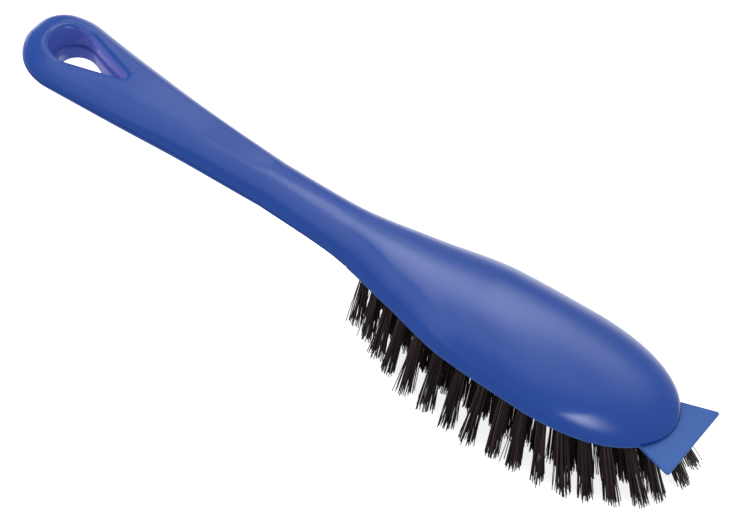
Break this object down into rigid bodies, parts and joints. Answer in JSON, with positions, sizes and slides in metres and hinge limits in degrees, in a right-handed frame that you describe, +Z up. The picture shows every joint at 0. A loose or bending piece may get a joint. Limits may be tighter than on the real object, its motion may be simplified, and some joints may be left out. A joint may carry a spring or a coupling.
{
  "type": "scrub brush",
  "caption": "Long-handled scrub brush: a domed head with dark bristle tufts, a flat scraper lip at the tip and a teardrop hanging eye at the end of the handle.",
  "frame": {"origin": "centre of the bounding box's base, on the surface that the bristle tips stand on", "axes": "+X along the brush towards the scraper lip, +Y across it, +Z up through the back of the head"},
  "size_m": [0.29, 0.062, 0.0433],
  "materials": {
    "body_gloss": "glossy royal blue polypropylene",
    "block_matte": "matte lighter blue polypropylene",
    "bristles": "dark brown nylon filament"
  },
  "bodies": {
    "root": {"handle_shell": "body_gloss", "handle_underside": "body_gloss", "bristle_block": "block_matte", "tuft_outer_01": "bristles", "tuft_outer_02": "bristles", "tuft_outer_03": "bristles", "tuft_outer_04": "bristles", "tuft_outer_05": "bristles", "tuft_outer_06": "bristles", "tuft_outer_07": "bristles", "tuft_outer_08": "bristles", "tuft_outer_09": "bristles", "tuft_outer_10": "bristles", "tuft_outer_11": "bristles", "tuft_outer_12": "bristles", "tuft_outer_13": "bristles", "tuft_outer_14": "bristles", "tuft_outer_15": "bristles", "tuft_outer_16": "bristles", "tuft_outer_17": "bristles", "tuft_outer_18": "bristles", "tuft_outer_19": "bristles", "tuft_outer_20": "bristles", "tuft_outer_21": "bristles", "tuft_outer_22": "bristles", "tuft_outer_23": "bristles", "tuft_outer_24": "bristles", "tuft_outer_25": "bristles", "tuft_outer_26": "bristles", "tuft_outer_27": "bristles", "tuft_outer_28": "bristles", "tuft_outer_29": "bristles", "tuft_outer_30": "bristles", "tuft_outer_31": "bristles", "tuft_outer_32": "bristles", "tuft_inner_17": "bristles", "tuft_inner_18": "bristles", "tuft_inner_01": "bristles", "tuft_inner_02": "bristles", "tuft_inner_03": "bristles", "tuft_inner_04": "bristles", "tuft_inner_05": "bristles", "tuft_inner_06": "bristles", "tuft_inner_07": "bristles", "tuft_inner_08": "bristles", "tuft_inner_09": "bristles", "tuft_inner_10": "bristles", "tuft_inner_11": "bristles", "tuft_inner_12": "bristles", "tuft_inner_13": "bristles", "tuft_inner_14": "bristles", "tuft_inner_15": "bristles", "tuft_inner_16": "bristles", "tuft_centre_01": "bristles", "tuft_centre_02": "bristles", "tuft_centre_03": "bristles", "tuft_centre_04": "bristles", "tuft_centre_05": "bristles", "tuft_centre_06": "bristles", "tuft_rear_01": "bristles"}
  },
  "joints": []
}
